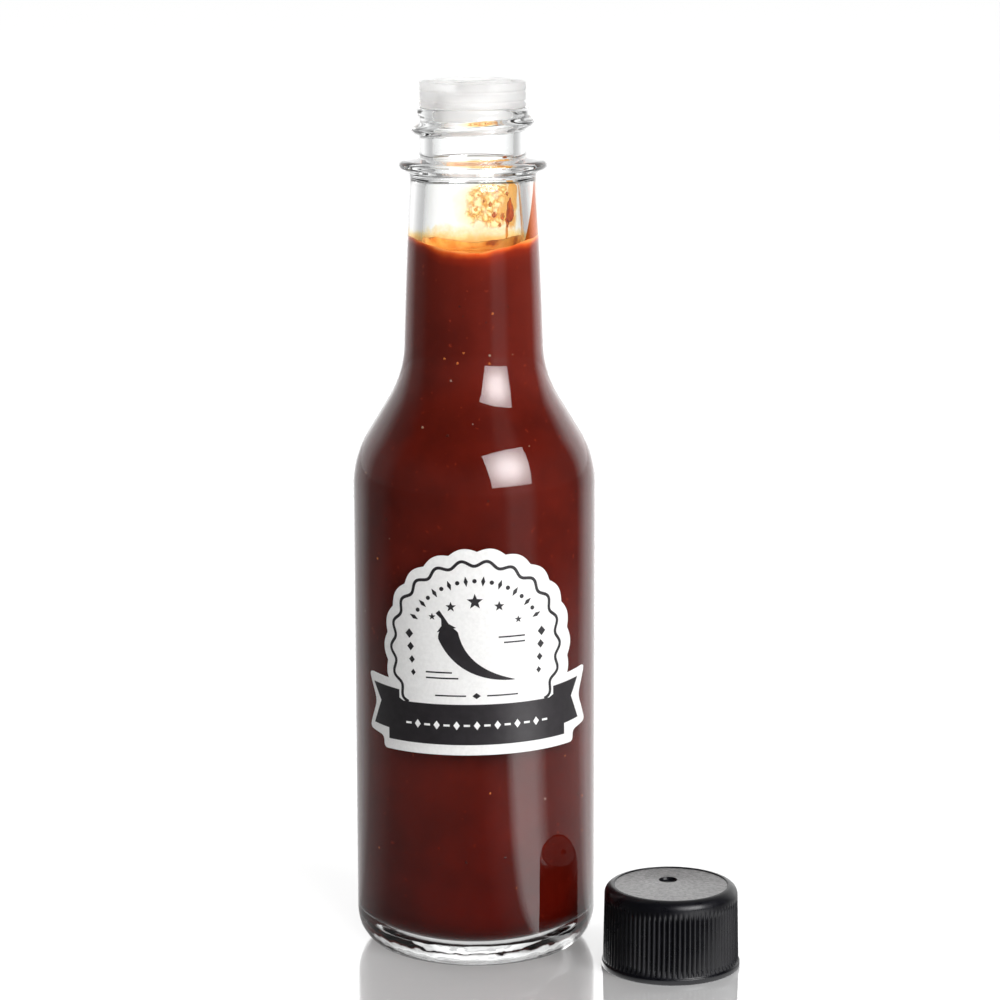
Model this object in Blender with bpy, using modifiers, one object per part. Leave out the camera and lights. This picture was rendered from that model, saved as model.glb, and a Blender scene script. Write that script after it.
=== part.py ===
"""Glass sauce bottle of 150 ml, filled and open, with its screw cap standing beside it.

Metres, +Z up. Every turned outline is a list of (radius, height) points in millimetres.
The front of the bottle, where the label is, faces -Y.
"""

import math

import bmesh
import bpy
from mathutils import Matrix, Vector

MM = 0.001

# Glass bottle
BODY_R = 23.5
GLASS_H = 164.8
WALL = 2.7
HEEL_R, HEEL_H = 5.5, 7.0
REST_RING_IN_R = 16.8
PUSH_UP_H = 2.4
FLOOR_Z = 3.9
FLOOR_DOME_H = 1.6
INNER_HEEL_R = 8.0
SHOULDER_Z = 91.9
SHOULDER_R = 19.6
SHOULDER_SLOPE = 31.4
THROAT_R = 21.0
NECK_TAPER = 2.5
NECK_LOW_R = 13.42
NECK_TOP_R = 12.05
NECK_TOP_Z = 151.0
NECK_BOW = 0.08
RING_R = 14.15
RING_Z = 153.7
FINISH_R = 10.2
LIP_R = 10.6
BORE_R = 7.8
BORE_LOW_Z = 154.0

# Screw thread of a 24 mm finish. It rises anticlockwise: THREAD_RIGHT_Z is its height at +X, angle 0
THREAD_R = 11.75
THREAD_WIRE_R = 1.2
THREAD_PITCH = 3.175
THREAD_RIGHT_Z = 162.15
THREAD_FROM, THREAD_TO, THREAD_FADE = -255.0, 75.0, 45.0
THREAD_STEP = 10.0
THREAD_TIP = 0.12

# Sauce, up to the level that shows
SAUCE_GAP = 0.3
SAUCE_TOP_Z = 138.0
MENISCUS = 1.0

# Dripper insert that plugs the mouth
INSERT_GAP = 0.3
COLLAR_R = 10.15
COLLAR_H = 4.5
PLUG_DEPTH = 3.0
PLUG_WALL = 1.0
TOP_PLATE = 2.6
BOSS_R, BOSS_H = 7.4, 0.4
FUNNEL_R = 3.4
DRIP_HOLE_R = 2.3

# Paper label, wrapped on the front
LABEL_GAP = 0.3
LABEL_T = 0.2
LABEL_TURN = 2.2
LABEL_TILT = 0.8
SEAL_R, SEAL_Z = 20.05, 63.7
SCALLOPS, SCALLOP_DEPTH = 22, 0.75
LABEL_LOW_Z = 43.5
TAIL_REACH, TAIL_NOTCH = 25.2, 2.6
TAIL_TOP_Z, TAIL_LOW_Z = 58.0, 46.8
BAND_REACH = 20.6
LABEL_SPARE_TURN, LABEL_SPARE_H = 6.0, 2.0

# Screw cap, standing on its open rim
CAP_OFFSET = (37.9, -17.8)
CAP_LOW_R, CAP_TOP_R = 13.15, 12.9
CAP_RIM_R = 13.4
CAP_H = 16.2
CAP_EDGE_R = 1.9
CAP_DISC_R = 10.9
CAP_STEP = 0.25
CAP_BORE_R = 12.1
CAP_CEILING_Z = 14.2
GATE_R, GATE_DEPTH = 1.7, 0.6
RIBS, RIB_DEPTH = 80, 0.4
RIB_LOW_Z, RIB_TOP_Z = 1.5, 13.7
WEDGE_SHARE = 0.62
CAP_THREAD_R, CAP_THREAD_WIRE_R = 12.1, 0.85
CAP_THREAD_LOW_Z, CAP_THREAD_TURNS = 5.0, 1.2
CAP_THREAD_FADE, CAP_THREAD_STEP = 30.0, 14.4

BOTTLE_STEPS = 48
INSERT_STEPS = 36
CAP_STEPS = 40

# The origin lies on the table at the middle of the footprint of bottle and cap
BOTTLE_X = -(CAP_OFFSET[0] + CAP_RIM_R - BODY_R) / 2
BOTTLE_Y = -(CAP_OFFSET[1] - CAP_RIM_R + BODY_R) / 2
BOTTLE_AT = (BOTTLE_X * MM, BOTTLE_Y * MM, 0)
CAP_AT = ((BOTTLE_X + CAP_OFFSET[0]) * MM, (BOTTLE_Y + CAP_OFFSET[1]) * MM, 0)


def clear_scene():
    for obj in list(bpy.data.objects):
        bpy.data.objects.remove(obj)


def new_collection(name):
    collection = bpy.data.collections.new(name)
    bpy.context.scene.collection.children.link(collection)
    return collection


def material(name, colour, roughness, transmission=0.0, alpha=1.0):
    made = bpy.data.materials.new(name)
    made.use_nodes = True
    shader = made.node_tree.nodes["Principled BSDF"]
    shader.inputs["Base Color"].default_value = (*colour, 1)
    shader.inputs["Roughness"].default_value = roughness
    shader.inputs["Metallic"].default_value = 0.0
    shader.inputs["Transmission Weight"].default_value = transmission
    shader.inputs["Alpha"].default_value = alpha
    return made


def arc(centre, radius, start, end, steps, height=None):
    """Points on an arc, or on an ellipse of that height, by degrees from the outward direction towards +Z."""
    height = height or radius
    turns = [math.radians(start + (end - start) * i / steps) for i in range(steps + 1)]
    return [(centre[0] + radius * math.cos(t), centre[1] + height * math.sin(t)) for t in turns]


def bowed(start, end, bow, steps):
    """Points strictly between start and end on a line that bulges outwards by bow."""
    inside = [i / steps for i in range(1, steps)]
    return [
        (start[0] + (end[0] - start[0]) * t + bow * 4 * t * (1 - t), start[1] + (end[1] - start[1]) * t)
        for t in inside
    ]


def shoulder_arcs(inset, steps):
    """The shoulder from neck to body, moved inwards by inset: a hollow arc, a cone and a round arc."""
    slope = math.radians(SHOULDER_SLOPE)
    taper = math.radians(NECK_TAPER)
    low_centre = (BODY_R - SHOULDER_R, SHOULDER_Z)
    low_end_r = low_centre[0] + SHOULDER_R * math.cos(slope)
    low_end_z = low_centre[1] + SHOULDER_R * math.sin(slope)
    high_start_r = NECK_LOW_R + THROAT_R * (math.cos(taper) - math.cos(slope))
    high_start_z = low_end_z + (low_end_r - high_start_r) / math.tan(slope)
    high_centre = (
        high_start_r + THROAT_R * math.cos(slope),
        high_start_z + THROAT_R * math.sin(slope),
    )
    high = arc(high_centre, THROAT_R + inset, 180 + NECK_TAPER, 180 + SHOULDER_SLOPE, steps)
    low = arc(low_centre, SHOULDER_R - inset, SHOULDER_SLOPE, 0, steps)
    return high + low


def outer_outline():
    """The outside of the glass, from the lip down to the middle of the push-up."""
    lip = [(BORE_R + 0.6, GLASS_H), (9.7, GLASS_H), (LIP_R - 0.25, GLASS_H - 0.35), (LIP_R, GLASS_H - 1.0)]
    finish = [(LIP_R - 0.1, GLASS_H - 1.6), (FINISH_R, GLASS_H - 2.2), (FINISH_R, RING_Z + 2.6)]
    ring = [(FINISH_R + 0.3, RING_Z + 1.8), (FINISH_R + 1.2, RING_Z + 1.3), (RING_R - 0.8, RING_Z + 1.1)]
    ring += arc((RING_R - 0.9, RING_Z + 0.2), 0.9, 45, -60, 3)
    ring += [(NECK_TOP_R + 0.7, RING_Z - 1.8)]
    neck_top = (NECK_TOP_R, NECK_TOP_Z)
    shoulder = shoulder_arcs(0, 5)
    neck = [neck_top, *bowed(neck_top, shoulder[0], NECK_BOW, 4)]
    heel = arc((BODY_R - HEEL_R, HEEL_H), HEEL_R, 0, -90, 5, HEEL_H)
    push_up = [(REST_RING_IN_R, 0), (REST_RING_IN_R - 0.8, 0.5), (9.0, PUSH_UP_H - 0.4), (0, PUSH_UP_H)]
    return lip + finish + ring + neck + shoulder + heel + push_up


def inner_outline(gap=0.0, top=None):
    """The inside of the glass from the floor's middle up, a gap clear of it, cut off at height top."""
    bore = BORE_R - gap
    body = BODY_R - WALL - gap
    floor = FLOOR_Z + gap
    heel = INNER_HEEL_R - gap / 2
    points = [(0, floor + FLOOR_DOME_H), (8.0, floor + FLOOR_DOME_H * 0.5)]
    points += arc((body - heel, floor + heel), heel, -80, 0, 4)
    points += reversed(shoulder_arcs(WALL + gap, 5))
    low = points[-1]
    high = (bore + 1.3, NECK_TOP_Z - 0.4)
    points += bowed(low, high, 0.25, 4)
    points += [high, (bore + 0.5, NECK_TOP_Z + 2.0), (bore, BORE_LOW_Z)]
    if top is None:
        return points + [(bore, GLASS_H - 0.6)]
    below = [p for p in points if p[1] < top - 1.0]
    above = points[len(below)]
    share = (top - below[-1][1]) / (above[1] - below[-1][1])
    rim_r = below[-1][0] + (above[0] - below[-1][0]) * share
    return below + [(rim_r, top)]


def turned(name, outline, steps, place, surface, collection):
    """A solid turned about Z from an outline that runs down its outer side."""
    mesh = bpy.data.meshes.new(name)
    points = [(r * MM, 0, z * MM) for r, z in outline]
    mesh.from_pydata(points, [(i, i + 1) for i in range(len(points) - 1)], [])
    obj = bpy.data.objects.new(name, mesh)
    collection.objects.link(obj)
    obj.location = place
    screw = obj.modifiers.new("Turn", "SCREW")
    screw.axis = "Z"
    screw.angle = math.tau
    screw.steps = steps
    screw.render_steps = steps
    screw.use_smooth_shade = True
    screw.use_merge_vertices = True
    screw.merge_threshold = 0.00001
    mesh.materials.append(surface)
    return obj


def as_mesh(obj, name, collection):
    """A welded mesh object in place of a curve."""
    bpy.context.view_layer.update()
    graph = bpy.context.evaluated_depsgraph_get()
    mesh = bpy.data.meshes.new_from_object(obj.evaluated_get(graph))
    shape = bmesh.new()
    shape.from_mesh(mesh)
    bmesh.ops.remove_doubles(shape, verts=shape.verts, dist=0.00001)
    bmesh.ops.recalc_face_normals(shape, faces=shape.faces)
    shape.to_mesh(mesh)
    shape.free()
    made = bpy.data.objects.new(name, mesh)
    made.matrix_world = obj.matrix_world.copy()
    collection.objects.link(made)
    bpy.data.objects.remove(obj)
    return made


def as_cutter(obj):
    obj.hide_render = True
    obj.display_type = "WIRE"
    return obj


def combine(target, tool, operation):
    cut = target.modifiers.new(operation.title(), "BOOLEAN")
    cut.operation = operation
    cut.solver = "EXACT"
    cut.object = as_cutter(tool)


def helix_wire(name, radius, wire_radius, start, end, zero_z, fade, step, place, collection):
    """A round ridge along a helix about Z. It thins and sinks into the wall over its fade at each end."""
    data = bpy.data.curves.new(name, "CURVE")
    data.dimensions = "3D"
    data.bevel_depth = wire_radius * MM
    data.bevel_resolution = 2
    data.use_fill_caps = True
    count = round((end - start) / step)
    line = data.splines.new("POLY")
    line.points.add(count)
    for i, point in enumerate(line.points):
        angle = start + (end - start) * i / count
        turn = math.radians(angle)
        z = zero_z + THREAD_PITCH * angle / 360
        share = min(1.0, (angle - start) / fade, (end - angle) / fade)
        swell = THREAD_TIP + (1 - THREAD_TIP) * math.sin(math.pi / 2 * share)
        sunk = radius - (1 - swell) * wire_radius
        point.co = (sunk * math.cos(turn) * MM, sunk * math.sin(turn) * MM, z * MM, 1)
        point.radius = swell
    curve = bpy.data.objects.new(name, data)
    collection.objects.link(curve)
    curve.location = place
    return as_mesh(curve, name, collection)


def glass_bottle(parts, tools):
    clear_glass = material("clear_glass", (0.93, 0.96, 0.95), 0.03, transmission=1.0, alpha=0.35)
    outline = inner_outline() + outer_outline()
    bottle = turned("glass_bottle", outline, BOTTLE_STEPS, BOTTLE_AT, clear_glass, parts)
    wire_centre_r = THREAD_R - THREAD_WIRE_R
    thread = helix_wire(
        "bottle_thread", wire_centre_r, THREAD_WIRE_R, THREAD_FROM, THREAD_TO,
        THREAD_RIGHT_Z, THREAD_FADE, THREAD_STEP, BOTTLE_AT, tools,
    )
    combine(bottle, thread, "UNION")
    return bottle


def chilli_sauce(parts):
    """The filling: it follows the inside of the glass, and its top is a shallow hollow with a raised rim."""
    sauce_red = material("sauce_red", (0.16, 0.013, 0.006), 0.25)
    sides = inner_outline(SAUCE_GAP, SAUCE_TOP_Z + MENISCUS)
    rim_r = sides[-1][0]
    top = [(rim_r - 0.5, SAUCE_TOP_Z + MENISCUS * 0.45), (rim_r - 1.6, SAUCE_TOP_Z), (0, SAUCE_TOP_Z)]
    outline = list(reversed(sides + top))
    return turned("chilli_sauce", outline, BOTTLE_STEPS, BOTTLE_AT, sauce_red, parts)


def dripper_insert(parts):
    """The plastic insert: a collar on the lip, a short plug in the bore and a drip hole in its top."""
    milky_plastic = material("milky_plastic", (0.82, 0.82, 0.81), 0.35)
    seat = GLASS_H + INSERT_GAP
    top = seat + COLLAR_H
    plug_r = BORE_R - INSERT_GAP
    plug_z = GLASS_H - PLUG_DEPTH
    under = top - TOP_PLATE
    inside = plug_r - PLUG_WALL
    outline = [
        (DRIP_HOLE_R, under), (DRIP_HOLE_R, top - 1.2), (FUNNEL_R, top + BOSS_H),
        (BOSS_R - 0.3, top + BOSS_H), (BOSS_R, top + BOSS_H - 0.3), (BOSS_R, top),
        (COLLAR_R - 0.35, top), (COLLAR_R, top - 0.35), (COLLAR_R, seat + 0.3), (COLLAR_R - 0.3, seat),
        (plug_r, seat), (plug_r, plug_z + 0.5), (plug_r - 0.3, plug_z), (inside, plug_z),
        (inside, under - 0.5), (inside - 0.5, under), (DRIP_HOLE_R, under),
    ]
    return turned("dripper_insert", outline, INSERT_STEPS, BOTTLE_AT, milky_plastic, parts)


def label_outline():
    """Points of the label laid flat, as (along, height): a scalloped seal on a ribbon with notched tails."""
    tail_join = math.asin((TAIL_TOP_Z - 0.6 - SEAL_Z) / SEAL_R)
    count = SCALLOPS * 4
    points = []
    for i in range(count + 1):
        turn = tail_join + (math.pi - 2 * tail_join) * i / count
        bump = abs(math.sin(SCALLOPS * (turn - math.pi / 2) / 2))
        reach = SEAL_R - SCALLOP_DEPTH * (1 - bump)
        points.append((reach * math.cos(turn), SEAL_Z + reach * math.sin(turn)))
    middle_z = (TAIL_TOP_Z + TAIL_LOW_Z) / 2
    left = [
        (-TAIL_REACH + 1.0, TAIL_TOP_Z), (-TAIL_REACH, TAIL_TOP_Z - 1.0),
        (-TAIL_REACH + TAIL_NOTCH, middle_z), (-TAIL_REACH, TAIL_LOW_Z + 1.0),
        (-TAIL_REACH + 1.0, TAIL_LOW_Z), (-BAND_REACH, TAIL_LOW_Z - 1.0),
        (-BAND_REACH, LABEL_LOW_Z + 1.2), (-BAND_REACH + 1.2, LABEL_LOW_Z),
    ]
    right = [(-along, z) for along, z in reversed(left)]
    tilt = Matrix.Rotation(math.radians(LABEL_TILT), 2)
    tilted = [tilt @ Vector((along, z - SEAL_Z)) for along, z in points + left + right]
    return [(along, SEAL_Z + rise) for along, rise in tilted]


def paper_label(parts, tools):
    """A strip of the cylinder just outside the glass, cut to the label's outline."""
    white_paper = material("white_paper", (0.86, 0.85, 0.84), 0.45)
    inner_r = BODY_R + LABEL_GAP
    half_turn = math.degrees(TAIL_REACH / inner_r) + LABEL_SPARE_TURN
    high_z = SEAL_Z + SEAL_R + LABEL_SPARE_H
    low_z = LABEL_LOW_Z - LABEL_SPARE_H
    mesh = bpy.data.meshes.new("paper_label")
    mesh.from_pydata([(inner_r * MM, 0, high_z * MM), (inner_r * MM, 0, low_z * MM)], [(0, 1)], [])
    label = bpy.data.objects.new("paper_label", mesh)
    parts.objects.link(label)
    mesh.materials.append(white_paper)
    label.location = BOTTLE_AT
    label.rotation_euler.z = math.radians(-90 + LABEL_TURN - half_turn)
    sweep = label.modifiers.new("Sweep", "SCREW")
    sweep.axis = "Z"
    sweep.angle = math.radians(2 * half_turn)
    sweep.steps = round(2 * half_turn / 5)
    sweep.render_steps = sweep.steps
    paper = label.modifiers.new("Paper", "SOLIDIFY")
    paper.thickness = LABEL_T * MM
    paper.offset = 1

    data = bpy.data.curves.new("label_die", "CURVE")
    data.dimensions = "2D"
    data.fill_mode = "BOTH"
    data.extrude = BODY_R / 2 * MM
    outline = label_outline()
    line = data.splines.new("POLY")
    line.points.add(len(outline) - 1)
    line.use_cyclic_u = True
    for point, (along, z) in zip(line.points, outline):
        point.co = (inner_r * math.sin(along / inner_r) * MM, z * MM, 0, 1)
    curve = bpy.data.objects.new("label_die", data)
    tools.objects.link(curve)
    turn = Matrix.Rotation(math.radians(LABEL_TURN), 4, "Z")
    forward = Matrix.Translation((0, -BODY_R * 0.75 * MM, 0))
    upright = Matrix.Rotation(math.pi / 2, 4, "X")
    curve.matrix_world = Matrix.Translation(BOTTLE_AT) @ turn @ forward @ upright
    combine(label, as_mesh(curve, "label_die", tools), "INTERSECT")
    return label


def rib_grooves(tools):
    """The V grooves between the cap's ribs: one wedge for each, all in one cutter."""
    shape = bmesh.new()
    height = RIB_TOP_Z - RIB_LOW_Z
    wedge_r = WEDGE_SHARE * math.tau * CAP_LOW_R / RIBS
    middle_r = CAP_LOW_R - RIB_DEPTH + wedge_r
    for i in range(RIBS):
        wedge = bmesh.ops.create_cone(
            shape, cap_ends=True, segments=3, radius1=wedge_r * MM, radius2=wedge_r * MM, depth=height * MM,
        )["verts"]
        out = Matrix.Translation((middle_r * MM, 0, (RIB_LOW_Z + height / 2) * MM))
        point_in = Matrix.Rotation(math.pi / 2, 4, "Z")
        around = Matrix.Rotation(math.tau * i / RIBS, 4, "Z")
        bmesh.ops.transform(shape, matrix=around @ out @ point_in, verts=wedge)
    mesh = bpy.data.meshes.new("rib_grooves")
    shape.to_mesh(mesh)
    shape.free()
    grooves = bpy.data.objects.new("rib_grooves", mesh)
    tools.objects.link(grooves)
    grooves.location = CAP_AT
    return grooves


def screw_cap(parts, tools):
    """The black cap: ribbed skirt, rounded shoulder, sunk top disc with the mould's gate, thread inside."""
    black_plastic = material("black_plastic", (0.012, 0.012, 0.014), 0.3)
    disc_z = CAP_H - CAP_STEP
    outline = [(0, disc_z - GATE_DEPTH), (GATE_R, disc_z - GATE_DEPTH), (GATE_R, disc_z)]
    outline += [(CAP_DISC_R, disc_z), (CAP_DISC_R + 0.1, CAP_H)]
    outline += arc((CAP_TOP_R - CAP_EDGE_R, CAP_H - CAP_EDGE_R), CAP_EDGE_R, 80, 0, 4)
    outline += [(CAP_LOW_R, 1.3), (CAP_RIM_R, 1.1), (CAP_RIM_R, 0.3), (CAP_RIM_R - 0.3, 0)]
    outline += [(CAP_BORE_R + 0.3, 0), (CAP_BORE_R, 0.4), (CAP_BORE_R, CAP_CEILING_Z), (0, CAP_CEILING_Z)]
    cap = turned("screw_cap", outline, CAP_STEPS, CAP_AT, black_plastic, parts)
    thread = helix_wire(
        "cap_thread", CAP_THREAD_R, CAP_THREAD_WIRE_R, 0, 360 * CAP_THREAD_TURNS,
        CAP_THREAD_LOW_Z, CAP_THREAD_FADE, CAP_THREAD_STEP, CAP_AT, tools,
    )
    combine(cap, thread, "UNION")
    combine(cap, rib_grooves(tools), "DIFFERENCE")
    return cap


def main():
    clear_scene()
    parts = new_collection("glass_sauce_bottle")
    tools = new_collection("cutters")
    glass_bottle(parts, tools)
    chilli_sauce(parts)
    dripper_insert(parts)
    paper_label(parts, tools)
    screw_cap(parts, tools)


main()
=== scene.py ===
"""Looks of the glass sauce bottle: clear glass, red sauce, milky dripper insert, printed label, black cap.

Outlines and places are in millimetres, with the bottle's axis at the middle; MM turns them into metres.
The front of the bottle, where the label is, faces -Y.
"""

import math
import random

import bmesh
import bpy
from mathutils import Matrix, Vector, noise


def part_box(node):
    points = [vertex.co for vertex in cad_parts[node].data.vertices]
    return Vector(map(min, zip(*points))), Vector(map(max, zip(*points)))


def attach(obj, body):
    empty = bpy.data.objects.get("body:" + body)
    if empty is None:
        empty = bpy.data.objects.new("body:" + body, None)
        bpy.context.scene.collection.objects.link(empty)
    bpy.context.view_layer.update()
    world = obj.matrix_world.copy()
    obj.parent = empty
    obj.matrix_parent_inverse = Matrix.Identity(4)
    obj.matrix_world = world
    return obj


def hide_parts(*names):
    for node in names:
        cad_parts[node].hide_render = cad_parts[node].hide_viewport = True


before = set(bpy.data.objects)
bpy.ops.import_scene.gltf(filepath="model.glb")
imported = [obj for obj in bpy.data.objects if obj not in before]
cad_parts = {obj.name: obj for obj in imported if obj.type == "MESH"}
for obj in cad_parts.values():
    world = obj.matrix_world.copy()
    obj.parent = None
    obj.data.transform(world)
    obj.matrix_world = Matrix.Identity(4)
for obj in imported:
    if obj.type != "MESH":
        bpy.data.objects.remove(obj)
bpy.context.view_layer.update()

MM = 0.001


def middle_of(node):
    """The point on the ground below the middle of a CAD node."""
    low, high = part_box(node)
    return Vector(((low.x + high.x) / 2, (low.y + high.y) / 2, 0))


# The bottle's main sizes come from its parts in model.glb
BOTTLE_AT = middle_of("glass_bottle")
CAP_AT = middle_of("screw_cap")
GLASS_LOW, GLASS_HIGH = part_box("glass_bottle")
CAP_LOW, CAP_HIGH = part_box("screw_cap")
BODY_R = (GLASS_HIGH.x - GLASS_LOW.x) / 2 / MM
GLASS_H = GLASS_HIGH.z / MM
CAP_RIM_R = (CAP_HIGH.x - CAP_LOW.x) / 2 / MM
CAP_H = CAP_HIGH.z / MM

# Glass: wall, base, shoulder, neck and finish
WALL = 2.7
HEEL_R, HEEL_H = 5.5, 7.0
REST_RING_IN_R = 16.8
PUSH_UP_H = 2.4
FLOOR_Z = 3.9
FLOOR_DOME_H = 1.6
INNER_HEEL_R = 8.0
SHOULDER_Z = 91.9
SHOULDER_R = 19.6
SHOULDER_SLOPE = 31.4
THROAT_R = 21.0
NECK_TAPER = 2.5
NECK_LOW_R = 13.42
NECK_TOP_R = 12.05
NECK_TOP_Z = 151.0
NECK_BOW = 0.08
RING_R = 14.15
RING_Z = 153.7
FINISH_R = 10.2
LIP_R = 10.6
BORE_R = 7.8
BORE_LOW_Z = 154.0
STIPPLE_LOW_R, STIPPLE_TOP_Z, STIPPLE_H, STIPPLE_FINE = 14.0, 5.5, 0.15, 32
GLASS_STEPS = 192

# Screw thread on the finish. It rises anticlockwise: THREAD_RIGHT_Z is its height at +X, angle 0
THREAD_H = 1.55
THREAD_HALF_W = 1.45
THREAD_PITCH = 3.175
THREAD_RIGHT_Z = 162.15
THREAD_FROM, THREAD_TO, THREAD_FADE = -255.0, 75.0, 45.0
THREAD_ROW, THREAD_CREST = 0.16, 1.3

# Sauce: it reaches just into the glass wall, so that no air shows between them
SAUCE_SINK = 0.05
SAUCE_TOP_Z = 138.0
MENISCUS = 1.0
# GLOW_DEPTH, GLOW_OVER and NECK_GLOW_Z place painted glow in the sauce's colour, FOOT_SHADE_Z painted shade.
GLOW_DEPTH, GLOW_OVER = 9.0, 1.4
SIDE_CLIMB = 1.9
NECK_GLOW_Z = (104.0, 128.0)
FOOT_SHADE_Z = (8.0, 45.0)
SAUCE_TO_GLASS_IOR = 0.92
RIM_DROP, SURFACE_DIP = 0.8, 0.05
RIM_ROWS, RIM_ROW_H = 10, 0.4
RIM_WAVES = ((260, 0.3), (700, 0.12))
SAUCE_STEPS = 160

# Sauce on the neck's wall above the level. Film patches: middle and reach, each as degrees from the back
# towards +X and height. Lumps: degrees, height, size, shade. Flecks: degrees, height, size, shade
FILM_LOW_Z, FILM_TOP_Z, FILM_RING_Z = 136.0, 153.0, 138.5
FILM_SINK, FILM_T, FILM_ROWS, FILM_STEPS = 0.04, 0.02, 24, 128
FILM_PATCHES = (
    ((26, 145.5), (58, 8.0)), ((30, 145.6), (42, 7.0)), ((52, 144.0), (18, 4.6)), ((66, 150.5), (14, 6.0)),
)
WEDGE_TURN, WEDGE_TOP_Z, WEDGE_SPREAD = 84.0, 152.0, 36 / 13
WALL_LUMPS = (
    (54, 144.6, (1.15, 0.3, 2.0), 0), (27, 143.6, (0.5, 0.2, 0.5), 0), (22, 145.6, (0.4, 0.2, 0.5), 1),
    (40, 143.4, (0.6, 0.2, 0.7), 1), (46, 140.4, (0.3, 0.2, 1.3), 1), (32, 148.6, (0.5, 0.2, 0.3), 1),
    (50, 147.9, (0.45, 0.2, 0.35), 1), (14, 146.2, (0.22, 0.15, 0.3), 1), (48, 142.2, (0.5, 0.2, 0.8), 0),
    (60, 154.6, (0.7, 0.25, 0.5), 0), (35, 141.6, (0.35, 0.15, 0.4), 1),
)
SEEN_FLECKS = (
    (195, 117.0, 0.22, 1), (208, 117.8, 0.2, 1), (165, 116.9, 0.22, 1), (196, 103.5, 0.3, 0),
    (215, 104.6, 0.25, 2), (200, 113.5, 0.2, 2),
)
LUMP_PROUD, LUMP_ROUGH = 0.1, 0.7
FLECKS, FLECK_Z, FLECK_SIZE = 150, (14, 134), (0.07, 0.2)

# Dripper insert
COLLAR_R = 10.15
COLLAR_H = 4.5
INSERT_SEAT = 0.3
PLUG_DEPTH = 3.0
TOP_PLATE = 2.6
BOSS_R, BOSS_H = 7.4, 0.4
FUNNEL_R = 3.4
DRIP_HOLE_R = 2.3
COLLAR_GROOVES = (1.6, 3.5)
INSERT_STEPS = 128

# Label: its outline laid flat, as (along, height)
PAPER_R = BODY_R - 0.01
PAPER_T = 0.13
INK_T = 0.02
LABEL_ALONG = 0.9
LABEL_TILT = 0.8
SEAL_R, SEAL_Z = 20.05, 63.7
SCALLOPS, SCALLOP_DEPTH = 22, 0.75
LABEL_LOW_Z = 43.5
TAIL_REACH, TAIL_NOTCH = 25.2, 2.6
TAIL_TOP_Z, TAIL_LOW_Z = 58.0, 46.8
BAND_REACH = 20.6
LABEL_CORNER_R = 1.3

# Print on the label
PRINT_ALONG = 0.33
WAVE_R, WAVE_H = 17.1, 0.52
LINE_W = 0.6
ARCH_R, ARCH_FROM, ARCH_SPAN = 13.7, 28, 124
ARCH_MARKS, ARCH_MARK_REACH, DOT_R = 19, 0.95, 0.42
RULE_W = 0.3
RULES = ((4.4, 9.6, 66.4), (5.4, 9.6, 65.3), (-9.8, -4.6, 59.6), (-9.8, -3.4, 58.5))
INK_BAND_LOW, INK_BAND_HIGH = 45.5, 53.4
INK_BAND_REACH = 18.6
INK_TAIL_REACH, INK_TAIL_NOTCH = 22.9, 2.2
INK_TAIL_LOW, INK_TAIL_HIGH = 48.0, 56.1
INK_TAIL_ROOT = 15.8
PALE_MARKS_Z, PALE_MARK_STEP = 49.3, 1.95

# Cap
CAP_LOW_R, CAP_TOP_R = 13.15, 12.9
CAP_EDGE_R = 1.9
CAP_DISC_R = 10.9
CAP_STEP = 0.25
CAP_BORE_R = 12.1
CAP_CEILING_Z = 14.2
GATE_R, GATE_DEPTH = 1.7, 0.6
GATE_SHIFT = (-0.4, 3.4)
RIBS, RIB_DEPTH, RIB_SHARP = 80, 0.4, 1.6
RIB_LOW_Z, RIB_TOP_Z = 1.5, 13.7
STEPS_A_RIB = 8

# Camera and studio
CAMERA_AT = Vector((-0.0089, -0.63385, 0.209))
CAMERA_PITCH, CAMERA_ROLL = 10.7, 0.17
LENS, SENSOR = 119.88, 36.0
SOFT_BOX_TURN, SOFT_BOX_RISE = 37.0, 28.0
SOFT_BOX_AWAY = 2.0
SOFT_BOX_SIZE = (1.46, 1.42)
LAMP_POWER = 44.0
CLOTH_MIDDLE, CLOTH_EDGE = 20.0, 7.0
FLOOR_HALF = 8.0
FLOOR_PALE, FLOOR_DIM, FLOOR_MIRROR, FLOOR_GLOW = 0.92, 0.3, 0.48, 0.72
CEILING, CEILING_RISE = 0.3, (0.3, 0.65)
NEAR_FROM, NEAR_TO = 0.16, 0.42

# How light the set is by direction, in parts of LEVEL_SCALE: (degrees from the back towards +X, level)
LEVEL_SCALE = 2.0
BACKDROP = 0.65
MIRRORED = (
    (-180, 0.04), (-98, 0.04), (-84, 0.12), (-66, 0.15), (-50, 0.48), (-24, 0.62), (-14, 0.9), (14, 0.9),
    (30, 0.85), (50, 0.72), (66, 0.06), (118, 0.06), (128, 0.3), (145, 0.33), (154, 0.08), (180, 0.04),
)
NEAR = (
    (-180, 0.02), (-110, 0.06), (-60, 0.1), (-40, 0), (40, 0), (62, 0.26), (90, 0.25), (112, 0.22),
    (128, 1.35), (146, 1.4), (156, 0.1), (180, 0.02),
)
LIGHTING = ((-180, 0.2), (-70, 0.2), (-48, 0.55), (48, 0.55), (70, 0.2), (180, 0.2))
THROUGH = (
    (-180, 0.42), (-106, 0.42), (-98, 0.3), (-66, 0.3), (-50, 0.28), (-33, 0.38), (-14, 0.58), (-6, 0.63),
    (6, 0.63), (14, 0.58), (33, 0.38), (50, 0.28), (66, 0.3), (98, 0.3), (106, 0.42), (180, 0.42),
)


# Outlines

def arc(centre, radius, start, end, steps, height=None):
    """Points on an arc, or on an ellipse of that height, by degrees from outwards towards +Z."""
    height = height or radius
    turns = [math.radians(start + (end - start) * i / steps) for i in range(steps + 1)]
    return [(centre[0] + radius * math.cos(t), centre[1] + height * math.sin(t)) for t in turns]


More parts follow.
